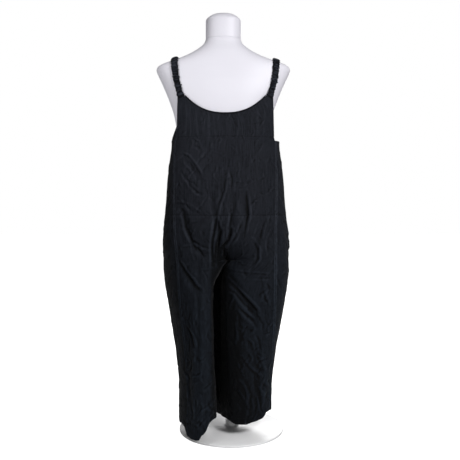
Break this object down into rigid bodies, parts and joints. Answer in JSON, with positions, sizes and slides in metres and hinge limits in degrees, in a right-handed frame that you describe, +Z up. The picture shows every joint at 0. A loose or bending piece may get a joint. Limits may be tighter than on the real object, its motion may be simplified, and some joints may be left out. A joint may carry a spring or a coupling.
{
  "type": "jumpsuit on a dress form",
  "caption": "Loose black jumpsuit with a scoop neck, ruched shoulder straps and cropped wide legs, hanging on a smooth limbless dress form with a round base.",
  "frame": {"origin": "middle of the bounding box, on the floor under the round base", "axes": "+Z up, the garment's back faces -Y, its left leg is at -X"},
  "size_m": [0.426, 0.33, 1.3249],
  "materials": {
    "cloth_black": "washed, slightly slubbed matt black weave",
    "binding_black": "matt black turned edge",
    "form_white": "smooth satin white shell",
    "stand_white": "white powder coat"
  },
  "bodies": {
    "root": {"form_torso": "form_white", "form_neck": "form_white", "stand_base": "stand_white", "stand_pole": "stand_white", "stand_flange": "stand_white", "back_yoke": "cloth_black", "back_neck_binding": "binding_black", "back_bodice": "cloth_black", "back_leg_left": "cloth_black", "back_leg_right": "cloth_black", "front_yoke": "cloth_black", "front_neck_binding": "binding_black", "front_bodice": "cloth_black", "front_leg_left": "cloth_black", "front_leg_right": "cloth_black", "strap_left": "cloth_black", "strap_right": "cloth_black"}
  },
  "joints": []
}
